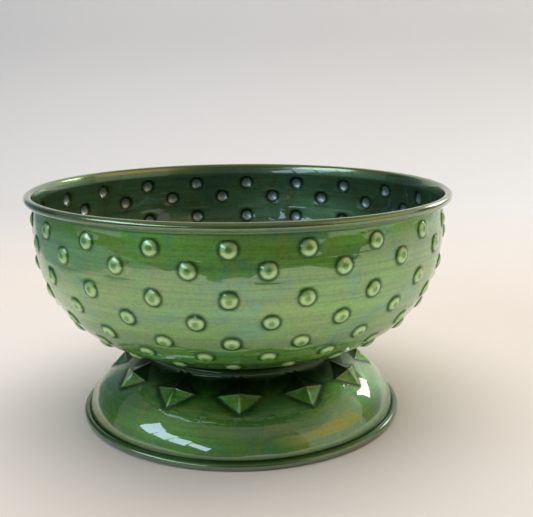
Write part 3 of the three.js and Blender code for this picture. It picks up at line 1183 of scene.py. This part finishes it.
@dataclass(frozen=True)
class Studio:
    """The pale floor and backdrop, the lamps and the camera."""

    lens: float = 54.95
    camera_place: Colour = (0.01796, -0.5438, 0.22656)
    camera_dip: float = math.radians(12.805)
    camera_roll: float = -0.00523
    front: float = -5
    back: float = 1.15
    half_width: float = 5
    wall_height: float = 1.4
    pale_front: float = -0.46
    pale_left: float = -0.42
    far: Place = (0.6, 3.2)  # squares of the distances between which the floor fades into the air
    backdrop_colour: Colour = (0.74, 0.735, 0.73)
    room_left: Colour = (0.36, 0.44, 0.5)
    room_right: Colour = (0.55, 0.54, 0.53)
    room_above: Colour = (0.3, 0.28, 0.22)
    room_warm: Colour = (1, 0.62, 0.3)
    room_dim: Colour = (0.125, 0.125, 0.11)
    panes: tuple[Place, ...] = ((33, 0.55), (28.3, 0.46), (23.6, 0.34), (18.9, 0.2))  # climb and height

    def backdrop(self) -> None:
        """Sweeps the floor up into a wall behind the bowl."""
        deselect()
        bpy.ops.mesh.primitive_plane_add(size=1, location=(0, 0, 0))
        sweep = bpy.context.active_object
        sweep.name = "studio_sweep"
        with editing(sweep):
            depth = self.back - self.front
            bpy.ops.transform.resize(value=(2 * self.half_width, depth, 1), center_override=(0, 0, 0))
            bpy.ops.transform.translate(value=(0, self.front + depth / 2, 0))
            pick(sweep, lambda co: co.y > self.back - MM)
            bpy.ops.mesh.extrude_region_move(TRANSFORM_OT_translate={"value": (0, 0, self.wall_height)})
            pick(sweep, lambda co: co.y > self.back - MM and co.z < MM)
            bpy.ops.mesh.bevel(offset=0.3, segments=12, affect="EDGES")
        sweep.data.materials.append(self.floor())
        smooth(sweep, 60)

    def floor(self) -> bpy.types.Material:
        """Gives the floor a pale finish, which the enamel shows darker far in front and to the left."""
        make = Surface("studio_floor")
        here = make.place()
        across, away, _ = make.parts(here)
        mottle = make.noise(here, 5, 3)
        front = make.ramp(away + 0.03 * mottle, self.pale_front, self.pale_front + 0.02)
        slant = across + 0.5 * make.math("MAXIMUM", away - 0.1, 0.0) + 0.04 * mottle
        left = make.ramp(slant, self.pale_left, self.pale_left + 0.16)
        pale = make.mix(mottle, (0.79, 0.72, 0.66), (0.83, 0.77, 0.72))
        pale = make.mix(make.ramp(away, 0.3, 0.9), pale, self.backdrop_colour)
        aside = make.mix(left, (0.24, 0.33, 0.38), pale)
        shown = make.mix(front, (0.1, 0.1, 0.1), aside)
        seen = make.node("ShaderNodeLightPath", output="Is Camera Ray")
        ahead = make.math("MINIMUM", away, 0.0)
        far = seen * make.ramp(across * across + ahead * ahead, *self.far)
        material = make.finish(
            Base_Color=make.mix(far, make.mix(seen, shown, pale), (0.0, 0.0, 0.0)),
            Emission_Color=make.mix(far, (0.0, 0.0, 0.0), self.backdrop_colour),
            Emission_Strength=1.0, Roughness=0.95, Specular_IOR_Level=0.1,
        )
        material.cycles.emission_sampling = "NONE"
        return material

    def air(self) -> None:
        """Makes the room round the bowl: pale at the sides and above, dim where the camera stands."""
        world = bpy.data.worlds.new("studio_air")
        room = Nodes(world, "ShaderNodeBackground", "ShaderNodeOutputWorld")
        across, away, climb = room.parts(room.node("ShaderNodeTexCoord", output="Generated"))
        bearing = room.math("ARCTAN2", across, -1 * away)
        colour = room.mix(room.ramp(across, -0.4, 0.4), self.room_left, self.room_right)
        colour = room.mix(room.ramp(climb, 0.5, 0.8), colour, self.room_above)
        warm = room.ramp(bearing, *np.radians((20, 75))) * (1 - room.ramp(bearing, *np.radians((102, 108))))
        warm = warm * room.between(climb, 0.28, 0.56, 0.08)
        left = 0.75 * room.between(bearing, *np.radians((-150, -20)), 0.3) * room.ramp(climb, 0.0, 0.08)
        front = room.between(bearing, *np.radians((-60, 47)), 0.05)
        dim = room.math("MAXIMUM", left, front) * (1 - room.ramp(climb, 0.6, 0.85))
        colour = room.mix(dim, colour, self.room_dim)
        colour = room.mix(warm, colour, self.room_warm)
        colour = room.mix(room.node("ShaderNodeLightPath", output="Is Camera Ray"), colour, self.backdrop_colour)
        room.finish(Color=colour, Strength=1.0)
        bpy.context.scene.world = world

    def light(self) -> None:
        """Lights the studio with a window of four panes, a lamp behind and soft light from above."""
        self.air()
        for i, (climb, tall) in enumerate(self.panes):
            Lamp(f"window_{i}", -72.5 + 15 * i, climb, (0.375, tall), 3.8, (0.6, 0.71, 1), roll=-19).hang()
        Lamp("soft_above", 0, 90, (1.8, 1.8), 2.65, (1, 0.99, 0.98), 1.9, seen=False).hang()
        Lamp("lamp_behind", 130, 24, (0.45, 0.35), 7, (1, 0.97, 0.92)).hang()
        Lamp("wall_wash", 180, 78, (2, 0.4), 1.5, (0.97, 0.99, 1), 1.75, (0, 1.15, 0.5), False).hang()

    def camera(self) -> None:
        """Sets the camera at the photograph's place."""
        data = bpy.data.cameras.new("camera")
        data.sensor_width = 36
        data.sensor_fit = "HORIZONTAL"
        data.lens = self.lens
        camera = bpy.data.objects.new("camera", data)
        bpy.context.scene.collection.objects.link(camera)
        tilt = Matrix.Rotation(math.pi / 2 - self.camera_dip, 4, "X")
        roll = Matrix.Rotation(self.camera_roll, 4, "Z")
        camera.matrix_world = Matrix.Translation(self.camera_place) @ tilt @ roll
        bpy.context.scene.camera = camera

    def build(self) -> None:
        """Sets up the studio."""
        self.backdrop()
        self.light()
        self.camera()
        bpy.context.scene.view_settings.view_transform = "Standard"


BOWL_ENAMEL = Enamel(
    name="bowl_enamel",
    studs=StudShape.ROUND,
    body=(0.2, 0.53, 0.065),
    teal=(0.13, 0.46, 0.17),
    olive=(0.25, 0.5, 0.07),
    thin_and_highlight=(0.52, 0.82, 0.33),
    middle=(0.13, 0.38, 0.05),
    deep=(0.015, 0.07, 0.01),
    bead=(0.2, 0.3, 0.11),
    bead_span=(149.5 * MM, 154 * MM),
    # The groove under the rim and the neck are darkened as painted shade.
    groove_shade_span=(145.7 * MM, 147.9 * MM),
    neck_shade_span=(40 * MM, 53 * MM),
    roughness=0.42,
)
# The inside: painted darker than the outside as painted shade, with its dimples painted pale as painted highlight.
INSIDE_ENAMEL = Enamel(
    name="inside_enamel",
    studs=StudShape.ROUND,
    body=(0.12, 0.27, 0.12),
    teal=(0.09, 0.21, 0.135),
    olive=(0.12, 0.2, 0.075),
    thin_and_highlight=(0.42, 0.52, 0.5),
    middle=(0.42, 0.52, 0.5),
    deep=(0.014, 0.034, 0.014),
    bead=(0.2, 0.3, 0.11),
    bead_span=(150 * MM, 154 * MM),
    groove_shade_span=(0, 1 * MM),
    neck_shade_span=(0, 1 * MM),
    roughness=0.4,
    gloss=1.7,
)
FOOT_ENAMEL = Enamel(
    name="foot_enamel",
    studs=StudShape.DIAMOND,
    body=(0.12, 0.36, 0.035),
    teal=(0.085, 0.32, 0.075),
    olive=(0.2, 0.37, 0.045),
    thin_and_highlight=(0.3, 0.58, 0.2),
    middle=(0.24, 0.5, 0.15),
    deep=(0.008, 0.04, 0.006),
    bead=(0.13, 0.22, 0.11),
    bead_span=(-1 * MM, 3.5 * MM),
    # The groove above the edge, a band just above it and the neck under the bowl are darkened as painted shade.
    groove_shade_span=(4.6 * MM, 5 * MM),
    neck_shade_span=(40 * MM, 60 * MM),
    roughness=0.42,
    painted_shade_span=(3.5 * MM, 6 * MM),
    stud_dullness=0.7,
)
STEEL = BareMetal("zinc_plated_steel", (0.6, 0.61, 0.62), (0.42, 0.43, 0.44), 0.28)
BRASS = BareMetal("satin_brass", (0.72, 0.52, 0.22), (0.5, 0.36, 0.16), 0.22)
RUBBER = Rubber("black_rubber", (0.014, 0.014, 0.014), (0.035, 0.035, 0.034))


def make_bowl() -> HobnailBowl:
    """Works out the bowl's sizes from its node and its pattern.

    Returns:
        The bowl.
    """
    low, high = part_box("bowl_shell")
    edge = RolledEdge(high.x, high.z - 2.6 * MM, Curl.OVER)
    lip = (edge.centre[0] - edge.curl - 1.8 * MM, edge.centre[1] - 4 * MM)
    seat = (62 * MM, low.z)
    curve = SheetCurve(
        lip, (lip[0] + 8 * MM, lip[1] - 59 * MM), (seat[0] + 44.5 * MM, seat[1] + 4 * MM), seat
    )
    rows = (8.5 * MM, *(20 * MM + i * 15.3 * MM for i in range(6)))
    between = [(a + b) / 2 for a, b in zip(rows, rows[1:])]
    creases = (rows[0] - 5.75 * MM, *between, rows[-1] + 7.65 * MM)
    return HobnailBowl(
        curve, edge, 1 * MM, 3.3 * MM, rows, creases, 20, 5.25 * MM, 1.7 * MM, 9.6 * MM
    )


def make_foot() -> DiamondFoot:
    """Works out the foot's sizes from its node and its pattern.

    Returns:
        The foot.
    """
    low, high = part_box("foot_shell")
    edge = RolledEdge(109.5 * MM, low.z + 2.6 * MM, Curl.UNDER)
    start = (67 * MM, high.z - 6.6 * MM)
    bottom = edge.path()[0]
    slope = math.radians(32)
    reach = 17.6 * MM
    curve = SheetCurve(
        start,
        (start[0] + reach * math.cos(slope), start[1] - reach * math.sin(slope)),
        (bottom[0], bottom[1] + 19.5 * MM),
        bottom,
    )
    return DiamondFoot(
        curve, edge, 1 * MM, 3.3 * MM, 12, 29 * MM, 30 * MM, 27 * MM, 3.5 * MM, 67 * MM, 5 * MM, high.z
    )


@dataclass
class Fixing:
    """The screw that holds the bowl to the foot, with its nut, washers and gaskets."""

    steel: bpy.types.Material
    brass: bpy.types.Material
    rubber: bpy.types.Material
    hole: float = 3.3 * MM

    def ring(self, node: str, inner: float, rounding: float, name: str) -> bpy.types.Object:
        """Models a flat ring in the place of its node."""
        low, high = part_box(node)
        return FlatRing(inner, high.x, low.z, high.z, rounding).build(name)

    def build(self) -> None:
        """Models and dresses every piece of the fixing."""
        low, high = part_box("fixing_screw")
        nut_low, nut_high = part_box("hex_nut")
        lock_low, lock_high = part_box("lock_washer")
        screw = SlottedScrew(3 * MM, high.x, high.z - 3.6 * MM, high.z, low.z, nut_high.z)
        nut = HexNut(10 * MM, nut_low.z, nut_high.z, 3.02 * MM)
        lock = SplitRing(self.hole, lock_high.y, lock_low.z, lock_high.z, math.radians(14))
        seal = self.ring("seal_washer", self.hole, 0.5 * MM, "seal_washer.rounded")
        gasket = self.ring("neck_gasket", 47 * MM, 0.3 * MM, "neck_gasket.rounded")
        clamp = self.ring("clamp_washer", self.hole, 0.25 * MM, "clamp_washer.bevelled")
        dress(screw.build("fixing_screw.slotted"), "fixing_screw", self.brass)
        dress(seal, "seal_washer", self.rubber)
        dress(gasket, "neck_gasket", self.rubber)
        dress(clamp, "clamp_washer", self.steel)
        dress(lock.build("lock_washer.split"), "lock_washer", self.steel)
        dress(nut.build("hex_nut.chamfered"), "hex_nut", self.brass)


def main() -> None:
    """Builds and dresses every piece in order."""
    logging.basicConfig(level=logging.INFO, format="%(name)s: %(message)s")
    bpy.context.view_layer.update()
    bowl_enamel = BOWL_ENAMEL.material()
    inside_enamel = INSIDE_ENAMEL.material()
    foot_enamel = FOOT_ENAMEL.material()
    steel = STEEL.material()
    brass = BRASS.material()
    rubber = RUBBER.material()
    bowl = make_bowl()
    dress(bowl.build(bowl_enamel, inside_enamel), "bowl_shell")
    dress(bowl.edge.wire_ring("rim_wire.bent"), "rim_wire", steel)
    foot = make_foot()
    dress(foot.build(foot_enamel, foot_enamel), "foot_shell")
    dress(foot.edge.wire_ring("foot_wire.bent"), "foot_wire", steel)
    Fixing(steel, brass, rubber).build()
    Studio().build()


if __name__ == "__main__":
    main()
